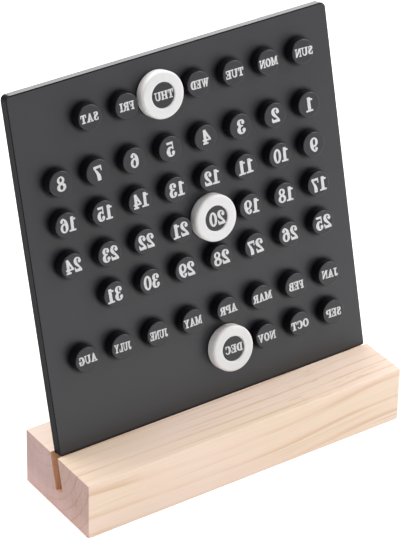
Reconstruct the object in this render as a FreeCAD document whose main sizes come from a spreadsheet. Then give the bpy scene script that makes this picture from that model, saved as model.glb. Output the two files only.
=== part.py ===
import FreeCAD, Part
import math
import os

# Perpetual desk calendar: a leaning peg board in a slotted wooden base, with
# three rings that drop over the pegs to mark the weekday, the date and the
# month.
#
# Model frame, millimetres: origin at the centre of the base's underside, +X
# along the base to the right of somebody who faces the pegs, -Y towards that
# person, +Z up.
#
# Board frame: the board, the pegs and the rings are drawn in a frame of their
# own. Its x runs along the base, y runs up the board, z stands out of the
# board's face, and its origin is on the face, at the level of the base's top.

doc = FreeCAD.newDocument("desk_calendar")

# ---------------------------------------------------------------- dimensions
dims = doc.addObject("Spreadsheet::Sheet", "dims")
TABLE = [
    ("base_length", 164.0, "wooden base, along X"),
    ("base_depth", 50.0, "wooden base, front to back"),
    ("base_height", 27.0, "wooden base, underside to top"),
    ("base_ease", 0.5, "rounding of the block's outer edges"),
    ("lean", 14.6, "degrees the board leans back from upright"),
    ("face_y", -0.4, "Y of the board's face at the level of the base's top"),
    ("slot_gap", 0.1, "room between the tongue and each slot wall"),
    ("slot_depth", 16.3, "depth of the slot, measured along the lean"),
    ("board_width", 160.4, "board, along X"),
    ("board_height", 159.9, "board above the base's top, along the lean"),
    ("board_thick", 5.3, "board, front to back"),
    ("board_corner", 2.5, "radius of the board's two upper corners"),
    ("board_corner_low", 1.0, "radius of the board's two lower corners"),
    ("board_ease", 0.5, "rounding of the board's outer edges"),
    ("tongue_width", 145.0, "tongue that stands in the slot, along X"),
    ("tongue_length", 16.2, "tongue below the level of the base's top"),
    ("peg_radius", 5.55, "head of a peg"),
    ("peg_height", 5.2, "head of a peg, out of the board's face"),
    ("peg_ease", 0.4, "rounding of the head's front edge"),
    ("spigot_radius", 2.95, "shank of a peg, glued in the board"),
    ("spigot_length", 2.9, "shank of a peg"),
    ("socket_radius", 3.0, "blind hole for the shank"),
    ("socket_depth", 3.0, "blind hole for the shank"),
    ("column_first", 62.47, "x of column 1; change its sign for the other hand"),
    ("column_step", 18.0, "centre to centre along a row"),
    ("row_weekday", 142.67, "height of the weekday row up the board"),
    ("row_date_a", 118.89, "height of the row of dates 1 to 8"),
    ("row_date_b", 100.72, "height of the row of dates 9 to 16"),
    ("row_date_c", 82.58, "height of the row of dates 17 to 24"),
    ("row_date_d", 64.57, "height of the row of dates 25 to 31"),
    ("row_month_a", 40.57, "height of the row from January to August"),
    ("row_month_b", 22.36, "height of the row from September to December"),
    ("ring_radius", 10.35, "outside of a ring"),
    ("ring_bore", 5.65, "hole of a ring: 0.1 larger in radius than a peg"),
    ("ring_back", 0.1, "the ring's rear face stands this far off the board"),
    ("ring_thick", 5.5, "a ring, front to back"),
    ("ring_round", 1.0, "rounding of a ring's outer edges"),
    ("ring_lip", 0.45, "rounding of the edges of a ring's hole"),
]
size = {}
for line, (alias, value, note) in enumerate(TABLE, start=1):
    dims.set("A%d" % line, alias)
    dims.set("B%d" % line, repr(value))
    dims.setAlias("B%d" % line, alias)
    dims.set("C%d" % line, note)
    size[alias] = value
doc.recompute()

WEEKDAYS = ["sun", "mon", "tue", "wed", "thu", "fri", "sat"]
MONTHS = ["jan", "feb", "mar", "apr", "may", "jun",
          "jul", "aug", "sep", "oct", "nov", "dec"]
DATES = ["%02d" % day for day in range(1, 32)]
# Every row starts at column 1 and runs on towards the left of the board.
ROWS = [
    ("row_weekday", WEEKDAYS),
    ("row_date_a", DATES[0:8]),
    ("row_date_b", DATES[8:16]),
    ("row_date_c", DATES[16:24]),
    ("row_date_d", DATES[24:31]),
    ("row_month_a", MONTHS[0:8]),
    ("row_month_b", MONTHS[8:12]),
]


# ------------------------------------------------------------------- helpers
def plane(body, role):
    """One of a body's own origin planes."""
    for feature in body.Origin.OriginFeatures:
        if feature.Role == role:
            return feature
    raise RuntimeError("no plane " + role)


def new_sketch(body, name, role):
    sketch = body.newObject("Sketcher::SketchObject", name)
    sketch.AttachmentSupport = [(plane(body, role), "")]
    sketch.MapMode = "FlatFace"
    return sketch


def drive(sketch, kind, geometry, point, value, expression):
    """Hold one coordinate of a point at an expression of the sheet."""
    if expression == "0":
        axis = -2 if kind == "DistanceX" else -1
        sketch.addConstraint(Sketcher.Constraint("PointOnObject", geometry, point, axis))
        return
    if value < 0:
        index = sketch.addConstraint(Sketcher.Constraint(kind, geometry, point, -1, 1, -value))
        expression = "-(" + expression + ")"
    else:
        index = sketch.addConstraint(Sketcher.Constraint(kind, -1, 1, geometry, point, value))
    sketch.setExpression("Constraints[%d]" % index, expression)


def polygon(sketch, corners):
    """A closed outline. A corner is ((x, expression), (y, expression))."""
    count = len(corners)
    points = [FreeCAD.Vector(cx[0], cy[0], 0) for cx, cy in corners]
    for i in range(count):
        sketch.addGeometry(Part.LineSegment(points[i], points[(i + 1) % count]), False)
    for i in range(count):
        sketch.addConstraint(Sketcher.Constraint("Coincident", i, 2, (i + 1) % count, 1))
    for i, (cx, cy) in enumerate(corners):
        drive(sketch, "DistanceX", i, 1, cx[0], cx[1])
        drive(sketch, "DistanceY", i, 1, cy[0], cy[1])


def circle(sketch, cx, cy, radius):
    centre = FreeCAD.Vector(cx[0], cy[0], 0)
    sketch.addGeometry(Part.Circle(centre, FreeCAD.Vector(0, 0, 1), radius[0]), False)
    drive(sketch, "DistanceX", 0, 3, cx[0], cx[1])
    drive(sketch, "DistanceY", 0, 3, cy[0], cy[1])
    index = sketch.addConstraint(Sketcher.Constraint("Radius", 0, radius[0]))
    sketch.setExpression("Constraints[%d]" % index, radius[1])


def edges(feature, wanted):
    """Names of the edges of a feature that pass a test."""
    return ["Edge%d" % (i + 1) for i, edge in enumerate(feature.Shape.Edges) if wanted(edge)]


def fillet(body, name, feature, names, expression, value):
    new = body.newObject("PartDesign::Fillet", name)
    new.Base = (feature, names)
    new.Radius = value
    new.setExpression("Radius", expression)
    return new


def at(alias, factor=1.0):
    """A dimension and the expression that holds it, times a plain factor."""
    if factor == 1.0:
        return size[alias], "dims." + alias
    return size[alias] * factor, "dims.%s * %r" % (alias, factor)


ZERO = (0.0, "0")
LEAN = math.radians(size["lean"])


def stand_on_board(thing, x, y):
    """Place a body at (x, y) of the board frame, leaning with the board."""
    px = x[0]
    py = size["face_y"] + y[0] * math.sin(LEAN)
    pz = size["base_height"] + y[0] * math.cos(LEAN)
    turn = FreeCAD.Rotation(FreeCAD.Vector(1, 0, 0), 90 - size["lean"])
    thing.Placement = FreeCAD.Placement(FreeCAD.Vector(px, py, pz), turn)
    thing.setExpression("Placement.Base.x", x[1])
    thing.setExpression("Placement.Base.y", "dims.face_y + (%s) * sin(dims.lean)" % y[1])
    thing.setExpression("Placement.Base.z", "dims.base_height + (%s) * cos(dims.lean)" % y[1])
    thing.setExpression("Placement.Rotation.Angle", "90 - dims.lean")


import Sketcher

parts = []      # every body that is a piece of its own, in writing order


def new_body(label):
    body = doc.addObject("PartDesign::Body", label)
    body.Label = label
    parts.append(body)
    return body


# --------------------------------------------------------------- wooden base
# A block of softwood with eased edges. The slot for the board is one straight
# saw cut that leans back with the board and runs out at both ends.
base = new_body("wooden_base")
end = new_sketch(base, "base_end", "YZ_Plane")
half = at("base_depth", 0.5)
front = at("base_depth", -0.5)
polygon(end, [(front, ZERO), (half, ZERO), (half, at("base_height")), (front, at("base_height"))])
block = base.newObject("PartDesign::Pad", "base_block")
block.Profile = end
block.Length = size["base_length"]
block.setExpression("Length", "dims.base_length")
block.SideType = "Symmetric"
doc.recompute()
eased = fillet(base, "base_edges", block, edges(block, lambda e: True), "dims.base_ease", size["base_ease"])
doc.recompute()
volume_before = base.Shape.Volume
slot_end = new_sketch(base, "slot_end", "YZ_Plane")
slot_end.AttachmentOffset = FreeCAD.Placement(
    FreeCAD.Vector(size["face_y"], size["base_height"], 0),
    FreeCAD.Rotation(FreeCAD.Vector(0, 0, 1), -size["lean"]))
slot_end.setExpression("AttachmentOffset.Base.x", "dims.face_y")
slot_end.setExpression("AttachmentOffset.Base.y", "dims.base_height")
slot_end.setExpression("AttachmentOffset.Rotation.Angle", "-dims.lean")
near = at("slot_gap", -1.0)
far = (size["board_thick"] + size["slot_gap"], "dims.board_thick + dims.slot_gap")
low = at("slot_depth", -1.0)
over = (size["board_thick"], "dims.board_thick")
polygon(slot_end, [(near, low), (far, low), (far, over), (near, over)])
slot = base.newObject("PartDesign::Pocket", "board_slot")
slot.Profile = slot_end
slot.Type = "Length"
slot.Length = size["base_length"] + 10
slot.setExpression("Length", "dims.base_length + 10")
slot.SideType = "Symmetric"
base.Tip = slot
doc.recompute()
slot_volume = volume_before - base.Shape.Volume
print("slot volume mm3", round(slot_volume, 1))
if slot_volume < 0.9 * size["base_length"] * size["slot_depth"] * size["board_thick"]:
    raise RuntimeError("the slot cut too little")

# -------------------------------------------------------------------- board
# A flat board with rounded corners. Its tongue is narrower than the board, so
# that the slot stays empty near the ends of the base.
board = new_body("calendar_panel")
outline = new_sketch(board, "board_outline", "XY_Plane")
left = at("board_width", -0.5)
right = at("board_width", 0.5)
top = at("board_height")
polygon(outline, [(left, ZERO), (right, ZERO), (right, top), (left, top)])
plate = board.newObject("PartDesign::Pad", "board_plate")
plate.Profile = outline
plate.Length = size["board_thick"]
plate.setExpression("Length", "dims.board_thick")
plate.Reversed = True
doc.recompute()


def along_z(edge):
    ends = [v.Point for v in edge.Vertexes]
    return len(ends) == 2 and abs(ends[0].x - ends[1].x) < 1e-6 and abs(ends[0].y - ends[1].y) < 1e-6


middle = size["board_height"] / 2
upper = fillet(board, "board_upper_corners", plate,
               edges(plate, lambda e: along_z(e) and e.BoundBox.YMin > middle),
               "dims.board_corner", size["board_corner"])
doc.recompute()
corners = fillet(board, "board_lower_corners", upper,
                 edges(upper, lambda e: along_z(e) and e.BoundBox.YMax < middle),
                 "dims.board_corner_low", size["board_corner_low"])
doc.recompute()


def on_a_face(edge):
    box = edge.BoundBox
    return box.ZLength < 1e-6


rim = fillet(board, "board_rim", corners, edges(corners, on_a_face), "dims.board_ease", size["board_ease"])
doc.recompute()
tongue_sketch = new_sketch(board, "tongue_outline", "XY_Plane")
tongue_left = at("tongue_width", -0.5)
tongue_right = at("tongue_width", 0.5)
tongue_low = at("tongue_length", -1.0)
tongue_high = at("board_thick")
polygon(tongue_sketch, [(tongue_left, tongue_low), (tongue_right, tongue_low),
                        (tongue_right, tongue_high), (tongue_left, tongue_high)])
tongue = board.newObject("PartDesign::Pad", "board_tongue")
tongue.Profile = tongue_sketch
tongue.Length = size["board_thick"]
tongue.setExpression("Length", "dims.board_thick")
tongue.Reversed = True
board.Tip = tongue
doc.recompute()

# Blind holes for the pegs' shanks: the first hole of each row, then the row.
step = size["column_step"]
for row, names in ROWS:
    volume_before = board.Shape.Volume
    spot = new_sketch(board, "first_hole_" + row, "XY_Plane")
    circle(spot, at("column_first"), at(row), at("socket_radius"))
    hole = board.newObject("PartDesign::Pocket", "hole_" + row)
    hole.Profile = spot
    hole.Type = "Length"
    hole.Length = size["socket_depth"]
    hole.setExpression("Length", "dims.socket_depth")
    board.Tip = hole
    doc.recompute()
    holes = board.newObject("PartDesign::LinearPattern", "holes_" + row)
    holes.Originals = [hole]
    holes.Direction = (spot, ["H_Axis"])
    holes.Reversed = True
    holes.Occurrences = len(names)
    holes.Length = (len(names) - 1) * step
    holes.setExpression("Length", "dims.column_step * %d" % (len(names) - 1))
    board.Tip = holes
    doc.recompute()
    cut = volume_before - board.Shape.Volume
    due = len(names) * math.pi * size["socket_radius"] ** 2 * size["socket_depth"]
    if abs(cut - due) > 1.0:
        raise RuntimeError("holes of %s cut %.1f and not %.1f" % (row, cut, due))
stand_on_board(board, ZERO, ZERO)

# --------------------------------------------------------------------- pegs
# A turned peg: a flat round head on a thinner shank.
peg_height = at("peg_height")
peg_radius = at("peg_radius")


def make_peg(label, x, y):
    body = new_body(label)
    profile = new_sketch(body, label + "_profile", "XZ_Plane")
    shank = at("spigot_radius")
    foot = at("spigot_length", -1.0)
    polygon(profile, [(ZERO, foot), (shank, foot), (shank, ZERO), (peg_radius, ZERO),
                      (peg_radius, peg_height), (ZERO, peg_height)])
    turned = body.newObject("PartDesign::Revolution", label + "_turned")
    turned.Profile = profile
    turned.ReferenceAxis = (profile, ["V_Axis"])
    turned.Angle = 360
    doc.recompute()
    rim_edges = edges(turned, lambda e: e.BoundBox.ZLength < 1e-6
                      and abs(e.BoundBox.ZMax - size["peg_height"]) < 1e-6)
    head = fillet(body, label + "_rim", turned, rim_edges, "dims.peg_ease", size["peg_ease"])
    body.Tip = head
    stand_on_board(body, x, y)
    return body


peg_place = {}
for row, names in ROWS:
    for column, name in enumerate(names):
        x = (size["column_first"] - column * step,
             "dims.column_first - dims.column_step * %d" % column)
        y = at(row)
        make_peg("peg_" + name, x, y)
        peg_place[name] = (x, y)
doc.recompute()

# -------------------------------------------------------------------- rings
# A round-edged ring with a plain hole that fits loosely over any peg. The
# three rings are alike; they are stored over the pegs THU, 20 and DEC.
for label, name in (("ring_day", "thu"), ("ring_date", "20"), ("ring_month", "dec")):
    body = new_body(label)
    profile = new_sketch(body, label + "_profile", "XZ_Plane")
    bore = at("ring_bore")
    rear = at("ring_back")
    face = (size["ring_back"] + size["ring_thick"], "dims.ring_back + dims.ring_thick")
    rim_out = at("ring_radius")
    polygon(profile, [(bore, rear), (rim_out, rear), (rim_out, face), (bore, face)])
    turned = body.newObject("PartDesign::Revolution", label + "_turned")
    turned.Profile = profile
    turned.ReferenceAxis = (profile, ["V_Axis"])
    turned.Angle = 360
    doc.recompute()
    outer = edges(turned, lambda e: e.BoundBox.ZLength < 1e-6
                  and e.BoundBox.XMax > size["ring_radius"] - 1e-3)
    rounded = fillet(body, label + "_outside", turned, outer, "dims.ring_round", size["ring_round"])
    doc.recompute()
    inner = edges(rounded, lambda e: e.BoundBox.ZLength < 1e-6
                  and abs(e.BoundBox.XMax - size["ring_bore"]) < 1e-3)
    lipped = fillet(body, label + "_hole", rounded, inner, "dims.ring_lip", size["ring_lip"])
    body.Tip = lipped
    stand_on_board(body, *peg_place[name])
doc.recompute()

# ------------------------------------------------------------ check and write
for thing in doc.Objects:
    if "Invalid" in thing.State or "Error" in thing.State:
        raise RuntimeError("failed: %s %s" % (thing.Name, thing.State))
for body in parts:
    shape = body.Shape
    if shape.isNull() or not shape.isValid() or len(shape.Solids) != 1:
        raise RuntimeError("bad shape: " + body.Label)

os.makedirs("parts", exist_ok=True)
for body in parts:
    body.Shape.exportStep("parts/%s.step" % body.Label)
    if not body.Label.startswith("peg_"):
        box = body.Shape.BoundBox
        print(body.Label, "volume", round(body.Shape.Volume, 2), "box",
              [round(v, 3) for v in (box.XMin, box.YMin, box.ZMin, box.XMax, box.YMax, box.ZMax)])
print("pieces written:", len(parts))
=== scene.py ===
import math

import bpy
import numpy as np
from mathutils import Matrix, Vector
from mathutils.geometry import tessellate_polygon


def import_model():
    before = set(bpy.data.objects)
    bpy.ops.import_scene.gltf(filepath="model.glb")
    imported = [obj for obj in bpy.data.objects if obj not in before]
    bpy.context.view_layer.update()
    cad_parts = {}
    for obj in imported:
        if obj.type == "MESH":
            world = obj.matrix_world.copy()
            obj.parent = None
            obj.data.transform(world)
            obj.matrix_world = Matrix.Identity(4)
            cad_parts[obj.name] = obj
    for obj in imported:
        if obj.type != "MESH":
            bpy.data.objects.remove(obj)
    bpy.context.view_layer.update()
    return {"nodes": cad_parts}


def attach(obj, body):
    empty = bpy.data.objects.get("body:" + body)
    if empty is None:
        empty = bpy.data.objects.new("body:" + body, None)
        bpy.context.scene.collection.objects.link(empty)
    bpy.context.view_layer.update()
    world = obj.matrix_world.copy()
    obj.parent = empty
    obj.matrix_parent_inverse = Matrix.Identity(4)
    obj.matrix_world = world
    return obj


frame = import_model()
scene = bpy.context.scene
MM = 0.001

# ------------------------------------------------------------------ geometry
# The board's own frame: x along the base, U up the board, N out of its face.
LEAN = math.radians(14.6)
FACE_Y, BASE_H = -0.4, 27.0
BOARD_P, BOARD_T, BOARD_W, BOARD_EASE = 159.9, 5.3, 160.4, 0.5
U = Vector((0.0, math.sin(LEAN), math.cos(LEAN)))
N = Vector((0.0, -math.cos(LEAN), math.sin(LEAN)))
X = Vector((1.0, 0.0, 0.0))
O = Vector((0.0, FACE_Y, BASE_H))
PEG_H = 5.2
COLUMN_FIRST, COLUMN_STEP = 62.47, 18.0
ROWS = [
    (142.67, ["sun", "mon", "tue", "wed", "thu", "fri", "sat"]),
    (118.89, ["%02d" % d for d in range(1, 9)]),
    (100.72, ["%02d" % d for d in range(9, 17)]),
    (82.58, ["%02d" % d for d in range(17, 25)]),
    (64.57, ["%02d" % d for d in range(25, 32)]),
    (40.57, ["jan", "feb", "mar", "apr", "may", "jun", "jul", "aug"]),
    (22.36, ["sep", "oct", "nov", "dec"]),
]
# The legends are mirror-written, as they are seen in the reference. -1 keeps
# that; 1 makes them read the usual way.
HAND = -1.0

# -------------------------------------------------------------------- camera
cam_data = bpy.data.cameras.new("camera")
cam = bpy.data.objects.new("camera", cam_data)
scene.collection.objects.link(cam)
scene.camera = cam
az, el, roll = math.radians(34.8317), math.radians(32.0988), math.radians(1.2041)
back = Vector((-math.sin(az) * math.cos(el), -math.cos(az) * math.cos(el), math.sin(el)))
right = (-back).cross(Vector((0, 0, 1))).normalized()
up = right.cross(-back)
place = Vector((0, 0, 103.125)) + back * 1258.406 + right * -8.394 + up * -8.176
right2 = right * math.cos(roll) + up * math.sin(roll)
up2 = up * math.cos(roll) - right * math.sin(roll)
turn = Matrix((right2, up2, back)).transposed()
cam.matrix_world = Matrix.Translation(place * MM) @ turn.to_4x4()
cam_data.sensor_fit = "AUTO"
cam_data.sensor_width = 36.0
cam_data.lens = 2976.005 * 36.0 / 538.0
cam_data.clip_start, cam_data.clip_end = 0.05, 20.0

# --------------------------------------------------------------- node helpers


def new_material(name):
    mat = bpy.data.materials.new(name)
    mat.use_nodes = True
    tree = mat.node_tree
    tree.nodes.clear()
    out = tree.nodes.new("ShaderNodeOutputMaterial")
    shader = tree.nodes.new("ShaderNodeBsdfPrincipled")
    tree.links.new(shader.outputs["BSDF"], out.inputs["Surface"])
    return mat, tree, shader


def put(tree, socket, value):
    if isinstance(value, bpy.types.NodeSocket):
        tree.links.new(value, socket)
    else:
        socket.default_value = value


def calc(tree, operation, a, b=None, c=None, clamp=False):
    node = tree.nodes.new("ShaderNodeMath")
    node.operation = operation
    node.use_clamp = clamp
    put(tree, node.inputs[0], a)
    if b is not None:
        put(tree, node.inputs[1], b)
    if c is not None:
        put(tree, node.inputs[2], c)
    return node.outputs[0]


def remap(tree, value, lo, hi, to_lo=0.0, to_hi=1.0, kind="SMOOTHSTEP"):
    node = tree.nodes.new("ShaderNodeMapRange")
    node.interpolation_type = kind
    node.clamp = True
    put(tree, node.inputs["Value"], value)
    put(tree, node.inputs["From Min"], lo)
    put(tree, node.inputs["From Max"], hi)
    put(tree, node.inputs["To Min"], to_lo)
    put(tree, node.inputs["To Max"], to_hi)
    return node.outputs["Result"]


def noise(tree, vector, scale, detail=2.0, rough=0.5, colour=False):
    """Noise over a vector in millimetres, with a period of its own along each axis."""
    mapping = tree.nodes.new("ShaderNodeMapping")
    mapping.inputs["Scale"].default_value = scale
    tree.links.new(vector, mapping.inputs["Vector"])
    node = tree.nodes.new("ShaderNodeTexNoise")
    node.inputs["Scale"].default_value = 1.0
    node.inputs["Detail"].default_value = detail
    node.inputs["Roughness"].default_value = rough
    tree.links.new(mapping.outputs["Vector"], node.inputs["Vector"])
    return node.outputs["Color"] if colour else node.outputs["Fac"]


def blend_colour(tree, factor, a, b, kind="MIX"):
    node = tree.nodes.new("ShaderNodeMix")
    node.data_type = "RGBA"
    node.blend_type = kind
    put(tree, node.inputs["Factor"], factor)
    for socket, value in ((node.inputs[6], a), (node.inputs[7], b)):
        if isinstance(value, bpy.types.NodeSocket):
            tree.links.new(value, socket)
        else:
            socket.default_value = (*value, 1.0)
    return node.outputs[2]


def millimetres(tree):
    """Object coordinates in millimetres, and their three parts."""
    coord = tree.nodes.new("ShaderNodeTexCoord")
    scale = tree.nodes.new("ShaderNodeVectorMath")
    scale.operation = "SCALE"
    scale.inputs["Scale"].default_value = 1000.0
    tree.links.new(coord.outputs["Object"], scale.inputs[0])
    parts = tree.nodes.new("ShaderNodeSeparateXYZ")
    tree.links.new(scale.outputs["Vector"], parts.inputs[0])
    return coord, scale.outputs["Vector"], parts.outputs


def board_frame(tree, y, z):
    """How far a point stands out of the board's face, and how far up it is."""
    y = calc(tree, "SUBTRACT", y, FACE_Y)
    z = calc(tree, "SUBTRACT", z, BASE_H)
    out = calc(tree, "ADD", calc(tree, "MULTIPLY", y, -math.cos(LEAN)), calc(tree, "MULTIPLY", z, math.sin(LEAN)))
    rise = calc(tree, "ADD", calc(tree, "MULTIPLY", y, math.sin(LEAN)), calc(tree, "MULTIPLY", z, math.cos(LEAN)))
    return out, rise


def bump(tree, shader, height, distance, strength=1.0):
    node = tree.nodes.new("ShaderNodeBump")
    node.inputs["Distance"].default_value = distance
    node.inputs["Strength"].default_value = strength
    tree.links.new(height, node.inputs["Height"])
    tree.links.new(node.outputs["Normal"], shader.inputs["Normal"])


# ----------------------------------------------------------------- materials
def make_pine():
    """Bare sanded softwood. The growth rings are bent cylinders round a pith
    that lies just above the block, so the long faces show grain lines and the
    ends show bowl-shaped arcs of the same rings."""
    mat, tree, shader = new_material("pine_bare")
    coord, mm, (x, y, z) = millimetres(tree)

    drift = noise(tree, mm, (0.007, 0.010, 0.010), 1.0, 0.4, colour=True)
    drift_parts = tree.nodes.new("ShaderNodeSeparateXYZ")
    tree.links.new(drift, drift_parts.inputs[0])
    bend_y = calc(tree, "MULTIPLY", calc(tree, "SUBTRACT", drift_parts.outputs[0], 0.5), 5.5)
    bend_z = calc(tree, "MULTIPLY", calc(tree, "SUBTRACT", drift_parts.outputs[1], 0.5), 5.5)
    bend_z = calc(tree, "SUBTRACT", bend_z, remap(tree, x, 10.0, 84.0, 0.0, 3.5))
    dy = calc(tree, "SUBTRACT", calc(tree, "ADD", y, bend_y), 15.0)
    dz = calc(tree, "SUBTRACT", calc(tree, "ADD", z, bend_z), 35.0)
    # the same drift carries the fibres, so that they run along the rings
    along = tree.nodes.new("ShaderNodeCombineXYZ")
    for i, value in enumerate((x, calc(tree, "ADD", y, bend_y), calc(tree, "ADD", z, bend_z))):
        tree.links.new(value, along.inputs[i])
    along = along.outputs[0]
    radius = calc(tree, "SQRT", calc(tree, "ADD", calc(tree, "MULTIPLY", dy, dy), calc(tree, "MULTIPLY", dz, dz)))
    wobble = noise(tree, mm, (0.012, 0.10, 0.10), 2.0, 0.5)
    radius = calc(tree, "ADD", radius, calc(tree, "MULTIPLY", calc(tree, "SUBTRACT", wobble, 0.5), 1.1))
    turns = calc(tree, "DIVIDE", radius, 4.8)
    year = calc(tree, "FLOOR", turns)
    part = calc(tree, "FRACT", turns)
    grow = remap(tree, part, 0.62, 0.91)
    stop = remap(tree, part, 0.925, 0.985, 1.0, 0.0)
    late = calc(tree, "MULTIPLY", grow, stop)
    late = calc(tree, "POWER", late, 1.6)
    lottery = tree.nodes.new("ShaderNodeTexWhiteNoise")
    lottery.noise_dimensions = "1D"
    tree.links.new(year, lottery.inputs["W"])
    weight = remap(tree, lottery.outputs["Value"], 0.0, 1.0, 0.20, 0.95, "LINEAR")
    patch = noise(tree, along, (0.014, 0.11, 0.11), 2.0, 0.5)
    weight = calc(tree, "MULTIPLY", weight, remap(tree, patch, 0.36, 0.64, 0.30, 1.25))
    late = calc(tree, "MULTIPLY", late, weight, clamp=True)

    # long fibres, and short darker resin dashes that follow the grain
    fibre = noise(tree, along, (0.022, 1.7, 1.7), 4.0, 0.60)
    fibre_fine = noise(tree, along, (0.08, 6.0, 6.0), 3.0, 0.6)
    dash = remap(tree, noise(tree, along, (0.009, 0.95, 0.95), 1.0, 0.5), 0.60, 0.68)
    dash = calc(tree, "MULTIPLY", dash, remap(tree, noise(tree, along, (0.016, 0.12, 0.12), 1.0), 0.43, 0.58))

    tone = noise(tree, mm, (0.010, 0.055, 0.055), 2.0, 0.5)
    early = blend_colour(tree, remap(tree, tone, 0.33, 0.67), (0.842, 0.668, 0.564), (0.806, 0.642, 0.496))
    colour = blend_colour(tree, late, early, (0.672, 0.452, 0.298))
    streak = remap(tree, fibre, 0.30, 0.72, 1.028, 0.950, "LINEAR")
    streak = calc(tree, "MULTIPLY", streak, remap(tree, fibre_fine, 0.25, 0.75, 1.02, 0.975, "LINEAR"))
    grey = tree.nodes.new("ShaderNodeCombineXYZ")
    for i, power in enumerate((0.85, 1.0, 1.2)):
        tree.links.new(calc(tree, "POWER", streak, power), grey.inputs[i])
    colour = blend_colour(tree, 1.0, colour, grey.outputs[0], "MULTIPLY")
    colour = blend_colour(tree, calc(tree, "MULTIPLY", dash, 0.55), colour, (0.64, 0.44, 0.30))
    # the strip behind the board is painted paler and pinker: painted light from the lamp behind the board
    colour = blend_colour(tree, remap(tree, y, -4.0, 12.0, 0.0, 0.45), colour, (0.86, 0.71, 0.64))

    # the sawn ends: darker and pinker, with open pores; the darkening is partly the end grain's own colour and partly
    # painted shade
    facing = tree.nodes.new("ShaderNodeSeparateXYZ")
    tree.links.new(coord.outputs["Normal"], facing.inputs[0])
    is_end = remap(tree, calc(tree, "ABSOLUTE", facing.outputs[0]), 0.55, 0.85)
    pores = noise(tree, mm, (1.0, 1.9, 1.9), 3.0, 0.6)
    pore_dark = remap(tree, pores, 0.35, 0.70, 1.04, 0.90, "LINEAR")
    ray = noise(tree, mm, (0.4, 0.45, 0.06), 2.0, 0.5)
    pore_dark = calc(tree, "MULTIPLY", pore_dark, remap(tree, ray, 0.3, 0.7, 1.03, 0.95, "LINEAR"))
    end_grain_and_shade_tint = tree.nodes.new("ShaderNodeCombineXYZ")
    for i, tint in enumerate((0.535, 0.450, 0.485)):
        tree.links.new(calc(tree, "MULTIPLY", pore_dark, tint), end_grain_and_shade_tint.inputs[i])
    end_colour = blend_colour(tree, 1.0, colour, end_grain_and_shade_tint.outputs[0], "MULTIPLY")
    colour = blend_colour(tree, is_end, colour, end_colour)

    # inside the saw cut the wood is painted browner and darker: painted shade in the slot
    out_of_face, up_face = board_frame(tree, y, z)
    painted_slot_shade = calc(tree, "COMPARE", out_of_face, -BOARD_T / 2, BOARD_T / 2 + 0.13)
    painted_slot_shade = calc(tree, "MULTIPLY", painted_slot_shade, calc(tree, "GREATER_THAN", up_face, -16.38))
    painted_slot_shade = calc(tree, "MULTIPLY", painted_slot_shade, calc(tree, "LESS_THAN", calc(tree, "ABSOLUTE", facing.outputs[0]), 0.5))
    painted_slot_shade = calc(tree, "MULTIPLY", painted_slot_shade, calc(tree, "LESS_THAN", z, BASE_H - 0.05))
    saw = noise(tree, mm, (1.6, 0.25, 0.25), 2.0, 0.6)
    slot_shade_colour = blend_colour(tree, remap(tree, saw, 0.3, 0.7), (0.84, 0.510, 0.320), (0.71, 0.410, 0.250))
    slot_shade_colour = blend_colour(tree, 0.35, slot_shade_colour, colour, "MULTIPLY")
    colour = blend_colour(tree, painted_slot_shade, colour, slot_shade_colour)

    # painted shade and light: the wood is painted a little darker on the front, and on the top towards the left, where
    # less light falls; the sawn ends are painted paler near the underside, as painted light bounced up from the floor
    front = remap(tree, facing.outputs[1], -0.95, -0.45, 0.880, 1.0)
    painted_light_from_right = calc(tree, "MULTIPLY", remap(tree, x, -78.0, -15.0, 0.915, 1.03), remap(tree, x, 5.0, 70.0, 1.0, 1.05))
    on_top = remap(tree, facing.outputs[2], 0.6, 0.9, 0.0, 1.0)
    on_top = calc(tree, "MULTIPLY", on_top, remap(tree, y, -4.0, 8.0, 1.0, -0.25))
    painted_light_from_right = calc(tree, "ADD", calc(tree, "MULTIPLY", on_top, calc(tree, "SUBTRACT", painted_light_from_right, 1.0)), 1.0)
    painted_bounce_light = calc(tree, "MULTIPLY", is_end, remap(tree, z, 2.0, 13.0, 0.26, 0.0))
    front = calc(tree, "MULTIPLY", calc(tree, "MULTIPLY", front, painted_light_from_right), calc(tree, "ADD", painted_bounce_light, 1.0))
    # the painted shade and light, as one colour multiplier
    shade = tree.nodes.new("ShaderNodeCombineXYZ")
    for i in range(3):
        tree.links.new(front, shade.inputs[i])
    colour = blend_colour(tree, 1.0, colour, shade.outputs[0], "MULTIPLY")
    tree.links.new(colour, shader.inputs["Base Color"])
    rough = remap(tree, late, 0.0, 1.0, 0.60, 0.50, "LINEAR")
    rough = calc(tree, "ADD", rough, calc(tree, "MULTIPLY", calc(tree, "SUBTRACT", fibre, 0.5), 0.12))
    tree.links.new(rough, shader.inputs["Roughness"])
    shader.inputs["Specular IOR Level"].default_value = 0.35
    height = calc(tree, "ADD", calc(tree, "MULTIPLY", fibre, 0.5), calc(tree, "MULTIPLY", late, 0.35))
    height = calc(tree, "ADD", height, calc(tree, "MULTIPLY", calc(tree, "MULTIPLY", pores, is_end), 0.6))
    bump(tree, shader, height, 0.00006, 0.55)
    return mat


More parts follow.
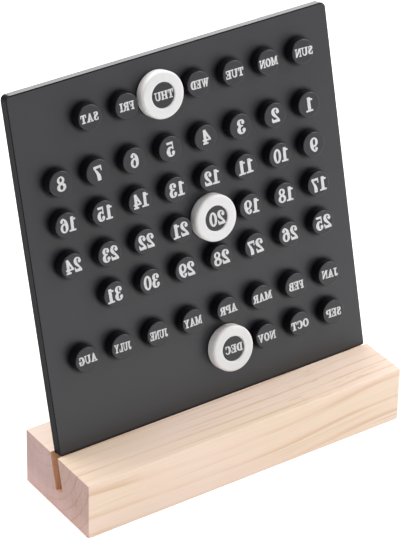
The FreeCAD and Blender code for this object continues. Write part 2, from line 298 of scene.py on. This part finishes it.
def make_board(name, base, gloss, faces, painted_edge_shade, shine, corners=None, grain=0.00001):
    """Very dark grey satin plastic with a fine moulded grain. Its faces are smooth; its cut edges, and the walls of the
    pegs, are painted darker and given less gleam: painted shade.
    faces(x, out, rise) gives the mask of the smooth parts, and corners, if given, how far the surface is clear of the
    painted shadow round the pegs and along the joint."""
    mat, tree, shader = new_material(name)
    coord, mm, parts = millimetres(tree)
    flat = faces(tree, parts[0], *board_frame(tree, parts[1], parts[2]))
    cloud = noise(tree, mm, (0.028, 0.028, 0.028), 3.0, 0.55)
    fine = noise(tree, mm, (3.2, 3.2, 3.2), 3.0, 0.6)
    speck = noise(tree, mm, (1.1, 1.1, 1.1), 2.0, 0.5)
    value = remap(tree, cloud, 0.3, 0.7, 0.94, 1.07, "LINEAR")
    value = calc(tree, "MULTIPLY", value, remap(tree, fine, 0.3, 0.7, 0.97, 1.03, "LINEAR"))
    # painted shade: edges and peg walls are painted darker
    value = calc(tree, "MULTIPLY", value, remap(tree, flat, 0.0, 1.0, painted_edge_shade[0], 1.0, "LINEAR"))
    # painted shadow: the surface is darkened round each peg and along the joint
    unshaded = corners(tree, parts[0], *board_frame(tree, parts[1], parts[2])) if corners else 1.0
    value = calc(tree, "MULTIPLY", value, unshaded)
    tint = tree.nodes.new("ShaderNodeCombineXYZ")
    for i, part in enumerate(base):
        tree.links.new(calc(tree, "MULTIPLY", value, part), tint.inputs[i])
    tree.links.new(tint.outputs[0], shader.inputs["Base Color"])
    rough = remap(tree, cloud, 0.3, 0.7, gloss - 0.025, gloss + 0.03, "LINEAR")
    rough = calc(tree, "ADD", rough, calc(tree, "MULTIPLY", calc(tree, "SUBTRACT", speck, 0.5), 0.05))
    tree.links.new(rough, shader.inputs["Roughness"])
    # painted shade: edges, peg walls and the painted shadow round the pegs also lose gleam
    gleam = calc(tree, "MULTIPLY", remap(tree, flat, 0.0, 1.0, painted_edge_shade[1], shine, "LINEAR"), unshaded)
    tree.links.new(gleam, shader.inputs["Specular IOR Level"])
    shader.inputs["IOR"].default_value = 1.5
    bump(tree, shader, calc(tree, "ADD", fine, calc(tree, "MULTIPLY", speck, 0.6)), grain, 0.5)
    return mat


def make_ring():
    """White moulded plastic: smooth, with faint flow marks and handling wear; its rim is painted paler as painted
    light.
    """
    mat, tree, shader = new_material("ring_white_plastic")
    coord, mm, parts = millimetres(tree)
    flow = noise(tree, mm, (0.16, 0.16, 0.16), 3.0, 0.55)
    fine = noise(tree, mm, (2.4, 2.4, 2.4), 2.0, 0.5)
    colour = blend_colour(tree, remap(tree, flow, 0.3, 0.7), (0.640, 0.636, 0.643), (0.612, 0.607, 0.611))
    colour = blend_colour(tree, calc(tree, "MULTIPLY", remap(tree, fine, 0.60, 0.78), 0.10), colour, (0.60, 0.58, 0.56))
    # painted light: the rim walls are painted paler than the face, to stand in for light on them
    facing = tree.nodes.new("ShaderNodeSeparateXYZ")
    tree.links.new(coord.outputs["Normal"], facing.inputs[0])
    painted_rim_light_facing = calc(tree, "SUBTRACT", calc(tree, "MULTIPLY", facing.outputs[2], math.sin(LEAN)),
                  calc(tree, "MULTIPLY", facing.outputs[1], math.cos(LEAN)))
    colour = blend_colour(tree, remap(tree, painted_rim_light_facing, 0.10, 0.90, 1.0, 0.0), colour, (0.86, 0.845, 0.842))
    tree.links.new(colour, shader.inputs["Base Color"])
    tree.links.new(remap(tree, flow, 0.3, 0.7, 0.34, 0.44, "LINEAR"), shader.inputs["Roughness"])
    shader.inputs["Subsurface Weight"].default_value = 0.45
    shader.inputs["Subsurface Scale"].default_value = 0.0025
    shader.inputs["Subsurface Radius"].default_value = (1.0, 0.9, 0.8)
    bump(tree, shader, fine, 0.00001, 0.35)
    return mat


def make_ink():
    """White screen-printed ink, a little uneven where it lies thin."""
    mat, tree, shader = new_material("legend_ink")
    coord, mm, parts = millimetres(tree)
    cover = noise(tree, mm, (1.3, 1.3, 1.3), 3.0, 0.6)
    fine = noise(tree, mm, (7.0, 7.0, 7.0), 2.0, 0.6)
    colour = blend_colour(tree, remap(tree, cover, 0.42, 0.72), (0.560, 0.560, 0.566), (0.425, 0.425, 0.430))
    colour = blend_colour(tree, calc(tree, "MULTIPLY", remap(tree, fine, 0.62, 0.78), 0.35), colour, (0.26, 0.26, 0.27))
    tree.links.new(colour, shader.inputs["Base Color"])
    tree.links.new(remap(tree, cover, 0.3, 0.7, 0.46, 0.58, "LINEAR"), shader.inputs["Roughness"])
    bump(tree, shader, fine, 0.00001, 0.4)
    return mat


def board_faces(tree, x, out, rise):
    """The front and back within their eased rims, with the tongue, and the
    flat of the top."""
    wide = calc(tree, "LESS_THAN", calc(tree, "ABSOLUTE", x), BOARD_W / 2 - 0.22)
    below = calc(tree, "LESS_THAN", rise, BOARD_P - BOARD_EASE + 0.04)
    narrow = calc(tree, "LESS_THAN", calc(tree, "ABSOLUTE", x), 72.5)
    above = calc(tree, "MAXIMUM", calc(tree, "GREATER_THAN", rise, BOARD_EASE - 0.04), narrow)
    both = calc(tree, "ADD", calc(tree, "GREATER_THAN", out, -0.28), calc(tree, "LESS_THAN", out, 0.03 - BOARD_T))
    within = calc(tree, "MULTIPLY", wide, below)
    both = calc(tree, "MULTIPLY", both, calc(tree, "MULTIPLY", within, above))
    top = calc(tree, "MULTIPLY", calc(tree, "GREATER_THAN", rise, BOARD_P - 0.03), calc(tree, "LESS_THAN", out, 0.04 - BOARD_EASE))
    return calc(tree, "ADD", both, calc(tree, "MULTIPLY", top, 0.80), clamp=True)


def round_pegs(tree, x, out, rise):
    """Painted shadow: the board's face is painted darker and less glossy in a narrow band round each peg, and along the
    line where the board meets the base, standing in for their contact shadow."""
    near = None
    for cy, names in ROWS:
        used = [i for i, name in enumerate(names) if name]
        step = calc(tree, "DIVIDE", calc(tree, "SUBTRACT", COLUMN_FIRST, x), COLUMN_STEP)
        column = calc(tree, "MAXIMUM", calc(tree, "MINIMUM", calc(tree, "ROUND", step), max(used)), min(used))
        aside = calc(tree, "MULTIPLY", calc(tree, "SUBTRACT", step, column), COLUMN_STEP)
        beyond = calc(tree, "SUBTRACT", rise, cy)
        gap = calc(tree, "ADD", calc(tree, "MULTIPLY", aside, aside), calc(tree, "MULTIPLY", beyond, beyond))
        near = gap if near is None else calc(tree, "MINIMUM", near, gap)
    unshaded = remap(tree, calc(tree, "SQRT", near), 5.3, 8.0, 0.22, 1.0)
    # painted contact shadow along the line where the board meets the base
    line = calc(tree, "MULTIPLY", remap(tree, rise, 0.1, 1.5, 0.0, 1.0), 0.70)
    line = calc(tree, "ADD", calc(tree, "MAXIMUM", line, remap(tree, rise, -0.9, -0.1, 0.70, 0.0)), 0.30)
    unshaded = calc(tree, "MULTIPLY", unshaded, line)
    return calc(tree, "MAXIMUM", unshaded, calc(tree, "LESS_THAN", out, -1.0))


def peg_faces(tree, x, out, rise):
    return calc(tree, "GREATER_THAN", out, PEG_H - 0.34)


PINE = make_pine()
# the tuple after the mask is the painted edge shade: colour and gleam kept on edges and peg walls
BOARD = make_board("board_dark_satin", (0.0112, 0.0115, 0.0148), 0.385, board_faces, (0.55, 0.05), 0.62, round_pegs)
PEG = make_board("peg_dark_satin", (0.0100, 0.0102, 0.0134), 0.385, peg_faces, (0.62, 0.13), 0.55)
RING = make_ring()
INK = make_ink()


def dress(node, mat):
    thing = frame["nodes"][node]
    if not thing.material_slots:
        thing.data.materials.append(mat)
    for slot in thing.material_slots:
        slot.material = mat


dress("wooden_base", PINE)
dress("calendar_panel", BOARD)
for height, names in ROWS:
    for name in names:
        dress("peg_" + name, PEG)
for name in ("ring_day", "ring_date", "ring_month"):
    dress(name, RING)

# ------------------------------------------------------------------- legends
# A bold slab-serif alphabet of its own, drawn in code. Heights run from 0 to 1.
# ("b", x0, y0, x1, y1) is a box, ("p", corners) a polygon, ("e", x, y, rx, ry)
# an ellipse and ("s", points) a stroke through (x, y, radius) points. A minus
# sign in front takes the shape away.


def box_(x0, y0, x1, y1):
    return ("b", x0, y0, x1, y1)


def poly(*corners):
    return ("p", corners)


def oval(x, y, rx, ry):
    return ("e", x, y, rx, ry)


def less(shape):
    return ("-" + shape[0],) + tuple(shape[1:])


def stroke(*points):
    return ("s", points)


SIX = [oval(.34, .325, .33, .335), stroke((.155, .32, .145), (.150, .50, .135), (.20, .73, .105), (.31, .89, .065), (.43, .955, .047), (.54, .91, .045)),
       less(oval(.35, .315, .115, .225)), oval(.535, .80, .112, .112)]
NINE = [oval(.32, .675, .33, .335), stroke((.505, .68, .145), (.510, .50, .135), (.46, .27, .105), (.35, .11, .065), (.23, .045, .047), (.12, .09, .045)),
        less(oval(.31, .685, .115, .225)), oval(.125, .20, .112, .112)]
GLYPHS = {
    "0": (.66, [oval(.33, .5, .33, .51), less(oval(.33, .5, .120, .375))]),
    "1": (.60, [box_(.20, 0, .44, 1), box_(.03, 0, .60, .115), poly((.02, .76), (.02, .865), (.13, .885), (.24, 1.0), (.30, 1.0), (.30, .80), (.20, .76))]),
    "2": (.66, [oval(.150, .715, .130, .130), stroke((.075, .76, .045), (.15, .89, .050), (.31, .955, .048), (.46, .90, .090), (.515, .74, .125), (.45, .56, .110), (.29, .38, .075), (.15, .23, .055), (.07, .11, .05)),
                poly((.02, 0), (.02, .10), (.09, .19), (.21, .225), (.36, .185), (.47, .185), (.55, .225), (.575, .33), (.645, .33), (.64, .15), (.60, 0))]),
    "3": (.66, [oval(.150, .765, .118, .118), stroke((.08, .80, .045), (.15, .91, .050), (.30, .957, .046), (.44, .90, .085), (.485, .755, .115), (.42, .605, .080), (.30, .545, .046), (.22, .54, .046)),
                stroke((.22, .54, .046), (.33, .535, .050), (.475, .45, .100), (.525, .28, .130), (.45, .105, .090), (.30, .043, .046), (.15, .09, .050), (.075, .20, .045)), oval(.145, .235, .128, .128)]),
    "4": (.68, [box_(.36, 0, .585, 1), box_(.24, 0, .68, .11), box_(.0, .225, .69, .335), poly((.40, 1), (.585, 1), (.52, .80), (.13, .30), (.0, .30), (.0, .335))]),
    "5": (.64, [poly((.10, 1), (.585, 1), (.545, .845), (.10, .845)), box_(.10, .47, .175, .95), stroke((.14, .53, .045), (.26, .625, .046), (.42, .585, .090), (.505, .42, .125), (.505, .28, .130), (.43, .105, .090), (.29, .043, .046), (.15, .09, .050), (.08, .18, .045)),
                oval(.145, .235, .122, .122)]),
    "6": (.67, SIX),
    "7": (.63, [box_(.03, .835, .61, 1), box_(.03, .64, .10, 1), stroke((.56, .90, .050), (.46, .70, .065), (.35, .48, .095), (.295, .27, .130), (.295, .13, .130)), box_(.165, 0, .425, .20)]),
    "8": (.66, [oval(.33, .75, .265, .255), oval(.33, .275, .325, .285), less(oval(.335, .765, .100, .150)), less(oval(.325, .262, .125, .165))]),
    "9": (.66, NINE),
    "A": (.82, [poly((.085, 0), (.195, 0), (.44, .92), (.40, 1), (.34, 1)), poly((.33, 1), (.47, 1), (.755, 0), (.50, 0)), box_(.19, .27, .58, .37), box_(0, 0, .31, .105), box_(.42, 0, .82, .105)]),
    "B": (.74, [box_(.08, 0, .29, 1), box_(0, 0, .36, .105), box_(0, .895, .36, 1), stroke((.25, .948, .052), (.42, .948, .052), (.545, .87, .082), (.575, .75, .105), (.54, .625, .080), (.42, .55, .047), (.25, .55, .047)),
                stroke((.25, .52, .047), (.44, .52, .047), (.595, .435, .090), (.62, .28, .118), (.575, .13, .090), (.44, .052, .052), (.25, .052, .052))]),
    "C": (.72, [stroke((.60, .80, .045), (.53, .91, .048), (.39, .953, .047), (.235, .865, .090), (.14, .66, .122), (.125, .5, .127), (.14, .34, .122), (.235, .135, .090), (.39, .047, .047), (.55, .095, .048), (.645, .24, .042)), box_(.57, .64, .655, 1)]),
    "D": (.78, [box_(.08, 0, .29, 1), box_(0, 0, .36, .105), box_(0, .895, .36, 1), stroke((.25, .948, .052), (.42, .935, .057), (.575, .82, .100), (.635, .63, .127), (.64, .5, .130), (.635, .37, .127), (.575, .18, .100), (.42, .065, .057), (.25, .052, .052))]),
    "E": (.70, [box_(.08, 0, .29, 1), box_(0, 0, .65, .11), box_(0, .89, .64, 1), box_(.2, .45, .47, .55), box_(.565, .68, .645, 1), box_(.58, 0, .665, .33), box_(.42, .35, .49, .65)]),
    "F": (.66, [box_(.08, 0, .29, 1), box_(0, 0, .40, .105), box_(0, .89, .63, 1), box_(.2, .45, .47, .55), box_(.555, .67, .635, 1), box_(.42, .35, .49, .65)]),
    "G": (.79, [stroke((.60, .80, .045), (.53, .91, .048), (.39, .953, .047), (.235, .865, .090), (.14, .66, .122), (.125, .5, .127), (.14, .34, .122), (.235, .135, .090), (.38, .050, .050), (.50, .09, .060), (.60, .20, .080)), box_(.57, .64, .655, 1),
                box_(.51, .02, .70, .42), box_(.41, .37, .78, .47)]),
    "H": (.84, [box_(.08, 0, .285, 1), box_(.555, 0, .76, 1), box_(.2, .445, .65, .555), box_(0, 0, .36, .105), box_(0, .895, .36, 1), box_(.48, 0, .84, .105), box_(.48, .895, .84, 1)]),
    "I": (.42, [box_(.105, 0, .315, 1), box_(0, 0, .42, .105), box_(0, .895, .42, 1)]),
    "J": (.60, [box_(.27, .26, .48, 1), box_(.15, .895, .60, 1), stroke((.375, .32, .105), (.355, .15, .095), (.24, .048, .052), (.11, .09, .045)), oval(.115, .195, .105, .105)]),
    "L": (.68, [box_(.08, 0, .29, 1), box_(0, .895, .39, 1), box_(0, 0, .63, .11), box_(.555, 0, .64, .37)]),
    "M": (.98, [box_(.085, 0, .185, 1), box_(.71, 0, .915, 1), poly((.05, 1), (.29, 1), (.555, .22), (.47, .04), (.42, .04)), poly((.45, .04), (.52, .04), (.80, .96), (.72, 1)), box_(0, 0, .28, .105), box_(.62, 0, .99, .105), box_(0, .895, .20, 1), box_(.74, .895, .99, 1)]),
    "N": (.84, [box_(.09, 0, .185, 1), box_(.645, 0, .74, 1), poly((.05, 1), (.29, 1), (.74, .10), (.74, 0), (.60, 0)), box_(0, .895, .24, 1), box_(.53, .895, .84, 1), box_(0, 0, .29, .105)]),
    "O": (.78, [oval(.39, .5, .39, .51), less(oval(.39, .5, .165, .385))]),
    "P": (.72, [box_(.08, 0, .29, 1), box_(0, 0, .41, .105), box_(0, .895, .36, 1), stroke((.25, .948, .052), (.44, .948, .052), (.585, .86, .090), (.62, .715, .118), (.575, .56, .090), (.44, .485, .052), (.25, .485, .052))]),
    "R": (.80, [box_(.08, 0, .29, 1), box_(0, 0, .38, .105), box_(0, .895, .36, 1), stroke((.25, .948, .052), (.43, .948, .052), (.56, .87, .085), (.595, .74, .110), (.55, .605, .082), (.42, .53, .050), (.25, .53, .050)),
                stroke((.38, .50, .060), (.50, .42, .092), (.56, .27, .098), (.605, .12, .080), (.685, .048, .048), (.775, .09, .034))]),
    "S": (.62, [stroke((.505, .80, .040), (.42, .915, .048), (.29, .953, .047), (.155, .87, .085), (.145, .715, .110), (.27, .585, .122), (.41, .475, .122), (.475, .30, .118), (.43, .125, .085), (.29, .047, .047), (.16, .085, .048), (.08, .20, .040)),
                box_(.46, .66, .54, .99), box_(.035, .01, .115, .34)]),
    "T": (.74, [box_(.265, 0, .475, 1), box_(.15, 0, .59, .105), box_(.02, .885, .72, 1), box_(.02, .64, .10, 1), box_(.64, .64, .72, 1)]),
    "U": (.82, [box_(.085, .30, .29, 1), box_(.63, .32, .725, 1), stroke((.1875, .36, .1025), (.215, .17, .105), (.385, .058, .062), (.57, .12, .052), (.675, .34, .0475)), box_(0, .895, .38, 1), box_(.52, .895, .83, 1)]),
    "V": (.80, [poly((.06, 1), (.30, 1), (.475, .27), (.475, 0), (.36, 0)), poly((.37, 0), (.475, 0), (.72, 1), (.615, 1)), box_(0, .895, .375, 1), box_(.52, .895, .80, 1)]),
    "W": (1.12, [poly((.055, 1), (.275, 1), (.425, .20), (.40, 0), (.30, 0)), poly((.31, 0), (.40, 0), (.60, .95), (.52, 1)), poly((.43, 1), (.65, 1), (.795, .20), (.77, 0), (.67, 0)), poly((.68, 0), (.77, 0), (1.04, 1), (.945, 1)),
                 box_(0, .895, .35, 1), box_(.40, .895, .72, 1), box_(.86, .895, 1.12, 1)]),
    "Y": (.80, [poly((.055, 1), (.30, 1), (.49, .50), (.49, .38), (.32, .38)), poly((.40, .42), (.49, .42), (.72, 1), (.62, 1)), box_(.30, 0, .51, .47), box_(.18, 0, .63, .105), box_(0, .895, .375, 1), box_(.53, .895, .80, 1)]),
}
CELLS = 150       # grid cells per letter height
PAD = 0.08


def stroke_points(points):
    """A smooth line through the points, with its radius."""
    pts = np.array([points[0], *points, points[-1]], float)
    out = []
    for i in range(1, len(pts) - 2):
        p0, p1, p2, p3 = pts[i - 1], pts[i], pts[i + 1], pts[i + 2]
        for t in np.linspace(0, 1, 15, endpoint=False):
            out.append(0.5 * ((2 * p1) + (p2 - p0) * t + (2 * p0 - 5 * p1 + 4 * p2 - p3) * t * t
                              + (3 * p1 - p0 - 3 * p2 + p3) * t ** 3))
    out.append(pts[-2])
    return out


def coverage(shape, gx, gy, grow):
    """Signed cover of a shape over the grid: 1 inside, 0 outside, with a soft
    step one cell wide. The shape is first made larger all round by grow."""
    kind = shape[0].lstrip("-")
    step = 1.0 / CELLS
    if kind == "b":
        _, x0, y0, x1, y1 = shape
        d = np.maximum(np.maximum(x0 - gx, gx - x1), np.maximum(y0 - gy, gy - y1))
    elif kind == "e":
        _, cx, cy, rx, ry = shape
        q = np.sqrt(((gx - cx) / rx) ** 2 + ((gy - cy) / ry) ** 2)
        slope = np.sqrt(((gx - cx) / rx ** 2) ** 2 + ((gy - cy) / ry ** 2) ** 2) / np.maximum(q, 1e-6)
        d = (q - 1.0) / np.maximum(slope, 1e-6)
    elif kind == "s":
        d = np.full(gx.shape, 9.0)
        for x, y, r in stroke_points(shape[1]):
            d = np.minimum(d, np.hypot(gx - x, gy - y) - r)
    else:
        corners = shape[1]
        inside = np.zeros(gx.shape, bool)
        near = np.full(gx.shape, 9.0)
        for (x0, y0), (x1, y1) in zip(corners, corners[1:] + corners[:1]):
            ex, ey = x1 - x0, y1 - y0
            t = np.clip(((gx - x0) * ex + (gy - y0) * ey) / (ex * ex + ey * ey), 0, 1)
            near = np.minimum(near, np.hypot(gx - x0 - t * ex, gy - y0 - t * ey))
            if y0 != y1:
                crosses = (gy > min(y0, y1)) & (gy <= max(y0, y1))
                inside ^= crosses & (gx < x0 + (gy - y0) * ex / ey)
        d = np.where(inside, -near, near)
    return np.clip(0.5 - (d - grow) / step, 0.0, 1.0)


def soften(field, sigma):
    reach = int(3 * sigma + 1)
    k = np.exp(-0.5 * (np.arange(-reach, reach + 1) / sigma) ** 2)
    k /= k.sum()
    field = np.apply_along_axis(lambda row: np.convolve(row, k, "same"), 0, field)
    return np.apply_along_axis(lambda row: np.convolve(row, k, "same"), 1, field)


def outlines(field):
    """Closed lines round everything over one half, by marching squares. The
    inside is on the left, so outer lines run anticlockwise."""
    rows, cols = field.shape
    joins = {}

    def cross(a, b):
        (r0, c0), (r1, c1) = a, b
        v0, v1 = field[r0, c0], field[r1, c1]
        t = (0.5 - v0) / (v1 - v0)
        return (c0 + t * (c1 - c0), r0 + t * (r1 - r0))

    where = field > 0.5
    mixed = where[:-1, :-1].astype(int) + where[:-1, 1:] + where[1:, :-1] + where[1:, 1:]
    for r, c in zip(*np.nonzero((mixed > 0) & (mixed < 4))):
        # corners anticlockwise, and the four sides between them
        corner = [(r, c), (r, c + 1), (r + 1, c + 1), (r + 1, c)]
        on = [bool(where[p]) for p in corner]
        side = [(("h", r, c), corner[0], corner[1]), (("v", r, c + 1), corner[1], corner[2]),
                (("h", r + 1, c), corner[2], corner[3]), (("v", r, c), corner[3], corner[0])]
        starts = [i for i in range(4) if on[i] and not on[(i + 1) % 4]]
        ends = [i for i in range(4) if not on[i] and on[(i + 1) % 4]]
        for s in starts:
            # leave through the side where the inside ends, keep it on the left
            e = min(ends, key=lambda k: (s - k) % 4)
            a, b = side[s], side[e]
            joins[a[0]] = (b[0], cross(a[1], a[2]))
    loops = []
    while joins:
        first = next(iter(joins))
        key, line = first, []
        while key in joins:
            after, point = joins.pop(key)
            line.append(point)
            key = after
        if len(line) > 8:
            loops.append(np.array(line))
    return loops


def thin(line, slack):
    """Drops the points of a closed line that lie within slack of a chord."""
    def walk(points):
        if len(points) < 3:
            return list(points[:-1])
        a, b = points[0], points[-1]
        ab = b - a
        n = np.hypot(*ab)
        rel = points[1:-1] - a
        d = np.abs(ab[0] * rel[:, 1] - ab[1] * rel[:, 0]) / n if n > 1e-9 else np.hypot(rel[:, 0], rel[:, 1])
        k = int(np.argmax(d))
        if d[k] <= slack:
            return [a]
        return walk(points[:k + 2]) + walk(points[k + 1:])
    far = int(np.argmax(np.hypot(*(line - line[0]).T)))
    first = line[:far + 1]
    second = np.vstack([line[far:], line[:1]])
    return np.array(walk(first) + walk(second))


def area(line):
    x, y = line[:, 0], line[:, 1]
    return 0.5 * float(np.sum(x * np.roll(y, -1) - y * np.roll(x, -1)))


def glyph(letter):
    """(advance, outlines) of a letter, in units of its height."""
    advance, shapes = GLYPHS[letter]
    nx = int((advance + 2 * PAD) * CELLS) + 1
    ny = int((1 + 2 * PAD) * CELLS) + 1
    gx, gy = np.meshgrid(np.arange(nx) / CELLS - PAD, np.arange(ny) / CELLS - PAD)
    field = np.zeros(gx.shape)
    grow = 0.004 if letter.isdigit() else 0.016
    for shape in shapes:
        cut = shape[0].startswith("-")
        cover = coverage(shape, gx, gy, -grow if cut else grow)
        if cut:
            field = np.minimum(field, 1.0 - cover)
        else:
            field = np.maximum(field, cover)
    field = soften(field, 1.7)
    found = []
    for line in outlines(field):
        line = thin(line, 0.32) / CELLS - PAD
        if len(line) > 3 and abs(area(line)) > 1e-3:
            found.append(line)
    return advance, found


LETTERS = {letter: glyph(letter) for letter in GLYPHS}


def inside(point, line):
    x, y = point
    odd = False
    for (x0, y0), (x1, y1) in zip(line, np.roll(line, -1, axis=0)):
        if (y0 > y) != (y1 > y) and x < x0 + (y - y0) * (x1 - x0) / (y1 - y0):
            odd = not odd
    return odd


def legend(name, text, height, printed, cx, cy, gap):
    """Printed text on the head of a peg, as a thin closed mesh."""
    turned, off_x, off_y, width = printed
    cos, sin = math.cos(math.radians(turned)), math.sin(math.radians(turned))
    pen, lines = 0.0, []
    for letter in text:
        advance, found = LETTERS[letter]
        for line in found:
            lines.append(line + np.array([pen, 0.0]))
        pen += advance + gap
    total = pen - gap
    stretch = width / (total * height)
    verts, faces = [], []
    low, high = PEG_H - 0.02, PEG_H + 0.045
    shaped = []
    for line in lines:
        xy = np.empty_like(line)
        x = (line[:, 0] - total / 2) * height * stretch
        y = (line[:, 1] - 0.5) * height
        # turned and set off as on the mirror-written original
        xy[:, 0] = HAND * (x * cos + y * sin - off_x)
        xy[:, 1] = y * cos - x * sin + off_y
        if HAND < 0:
            xy = xy[::-1]
        shaped.append(xy)
    outer = [s for s in shaped if area(s) > 0]
    holes = [s for s in shaped if area(s) < 0]

    def world(x, y, z):
        return (O + X * (cx + x) + U * (cy + y) + N * z) * MM

    for line in outer:
        mine = [line] + [h for h in holes if inside(h[0], line)]
        start = len(verts)
        flat = [Vector((x, y, 0.0)) for ring in mine for x, y in ring]
        count = len(flat)
        verts += [world(p.x, p.y, high) for p in flat] + [world(p.x, p.y, low) for p in flat]
        for tri in tessellate_polygon([[Vector((x, y, 0.0)) for x, y in ring] for ring in mine]):
            a, b, c = (flat[i] for i in tri)
            if (b - a).cross(c - a).z < 0:
                tri = tri[::-1]
            faces.append([start + i for i in tri])
            faces.append([start + count + i for i in reversed(tri)])
        at = 0
        for ring in mine:
            n = len(ring)
            for i in range(n):
                j = (i + 1) % n
                faces.append([start + at + j, start + at + i, start + count + at + i, start + count + at + j])
            at += n
    mesh = bpy.data.meshes.new(name)
    mesh.from_pydata([tuple(v) for v in verts], [], faces)
    mesh.validate()
    mesh.materials.append(INK)
    thing = bpy.data.objects.new(name, mesh)
    scene.collection.objects.link(thing)
    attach(thing, "panel")
    return thing


LONG = {"jun": "JUNE", "jul": "JULY"}
# How each legend is printed on its peg: turn in degrees, place off the peg's
# centre and width, in millimetres.
PRINT = {
    "sun": (-2.1, 0.40, 0.00, 9.20), "mon": (0.7, -0.14, 0.01, 9.31), "tue": (-0.6, 0.28, -0.07, 9.04),
    "wed": (-1.9, 0.40, -0.03, 9.05), "thu": (-0.7, 0.40, -0.06, 9.26), "fri": (-1.2, -0.06, 0.02, 6.94),
    "sat": (0.1, -0.40, 0.09, 8.61),
    "01": (0.6, -0.01, 0.08, 3.79), "02": (-0.5, 0.09, 0.12, 4.26), "03": (2.7, 0.11, -0.11, 4.35),
    "04": (-0.0, 0.31, 0.40, 4.01), "05": (1.7, 0.03, -0.10, 4.15), "06": (-3.6, 0.06, 0.12, 3.91),
    "07": (2.4, -0.01, -0.40, 4.12), "08": (0.4, -0.01, 0.03, 4.35),
    "09": (-4.0, -0.09, -0.15, 4.00), "10": (-1.8, 0.40, 0.04, 7.56), "11": (0.2, -0.07, 0.09, 7.55),
    "12": (-1.4, 0.37, 0.19, 7.58), "13": (-0.2, 0.40, 0.08, 7.67), "14": (-1.2, 0.40, 0.40, 7.44),
    "15": (-0.2, 0.40, 0.07, 7.41), "16": (-2.3, 0.40, 0.23, 7.45),
    "17": (-0.3, 0.17, -0.25, 7.77), "18": (-1.6, 0.40, 0.12, 7.86), "19": (-2.3, 0.40, 0.03, 7.79),
    "20": (-0.2, 0.40, -0.10, 7.98), "21": (1.7, -0.40, 0.13, 7.86), "22": (-0.4, 0.24, 0.18, 7.76),
    "23": (1.0, 0.18, 0.06, 7.88), "24": (0.5, 0.10, 0.39, 7.70),
    "25": (1.5, 0.18, 0.15, 8.11), "26": (-0.8, 0.16, 0.21, 8.01), "27": (1.4, -0.19, -0.26, 8.03),
    "28": (0.5, 0.03, 0.05, 8.10), "29": (0.2, 0.07, 0.04, 8.01), "30": (-0.8, 0.10, 0.01, 7.84),
    "31": (1.6, -0.40, -0.07, 7.65),
    "jan": (-3.2, 0.35, 0.09, 8.50), "feb": (-1.5, 0.09, -0.07, 7.61), "mar": (1.6, -0.01, 0.17, 9.83),
    "apr": (1.4, 0.07, 0.12, 8.86), "may": (0.8, -0.40, 0.13, 8.95), "jun": (-2.5, 0.08, -0.11, 8.88),
    "jul": (-2.3, -0.23, -0.02, 8.25), "aug": (1.5, 0.25, 0.15, 8.92),
    "sep": (-2.0, -0.06, -0.07, 7.95), "oct": (0.5, -0.37, -0.10, 9.12), "nov": (-0.0, -0.22, -0.12, 9.15),
    "dec": (-0.8, 0.22, 0.00, 8.90),
}
for cy, names in ROWS:
    for column, name in enumerate(names):
        cx = COLUMN_FIRST - column * COLUMN_STEP
        text = str(int(name)) if name.isdigit() else LONG.get(name, name.upper())
        if name.isdigit():
            height, gap = (6.4, 0.07) if len(text) == 1 else (6.3, 0.05)
        else:
            height, gap = (3.62 if cy > 140 else 3.68), 0.06
        legend("legend_" + name, text, height, PRINT[name], cx, cy, gap)

# --------------------------------------------------------------------- floor
bpy.ops.mesh.primitive_plane_add(size=8.0, location=(0, 0, -0.00002))
floor = bpy.context.object
floor.name = "floor"
mat, tree, shader = new_material("floor_white")
shader.inputs["Base Color"].default_value = (0.86, 0.86, 0.86, 1)
shader.inputs["Roughness"].default_value = 0.9
shader.inputs["Specular IOR Level"].default_value = 0.1
shader.inputs["Emission Color"].default_value = (1, 1, 1, 1)
shader.inputs["Emission Strength"].default_value = 0.28
floor.data.materials.append(mat)

# -------------------------------------------------------------------- lights
world = bpy.data.worlds.new("studio")
scene.world = world
world.use_nodes = True
tree = world.node_tree
tree.nodes.clear()
out = tree.nodes.new("ShaderNodeOutputWorld")
sky = tree.nodes.new("ShaderNodeBackground")
coord = tree.nodes.new("ShaderNodeTexCoord")
parts = tree.nodes.new("ShaderNodeSeparateXYZ")
tree.links.new(coord.outputs["Generated"], parts.inputs[0])
side = remap(tree, parts.outputs[0], -1.0, 0.7, 0.56, 0.80, "LINEAR")
tree.links.new(side, sky.inputs["Strength"])
sky.inputs["Color"].default_value = (1.0, 1.0, 1.0, 1.0)
tree.links.new(sky.outputs[0], out.inputs["Surface"])


def softbox(name, place, aim, power, wide, tall, colour=(1.0, 1.0, 1.0)):
    data = bpy.data.lights.new(name, "AREA")
    data.shape = "RECTANGLE"
    data.size, data.size_y = wide, tall
    data.energy = power
    data.color = colour
    lamp = bpy.data.objects.new(name, data)
    scene.collection.objects.link(lamp)
    lamp.location = place
    lamp.rotation_mode = "QUATERNION"
    lamp.rotation_quaternion = (Vector(aim) - Vector(place)).to_track_quat("-Z", "Y")
    return lamp


softbox("back_top", (-0.22, 0.64, 1.10), (0, 0, 0.08), 11.4, 0.9, 0.6, (1.0, 0.985, 0.98))
softbox("key_right", (0.63, -0.31, 0.63), (0, 0, 0.05), 5.3, 0.5, 0.5, (1.0, 0.99, 0.975))
softbox("low_behind", (0.92, 1.67, 0.42), (0, 0, 0.17), 5.6, 0.9, 0.5)

scene.view_settings.view_transform = "Standard"
scene.view_settings.look = "None"
scene.view_settings.exposure = 0.0
scene.view_settings.gamma = 1.0
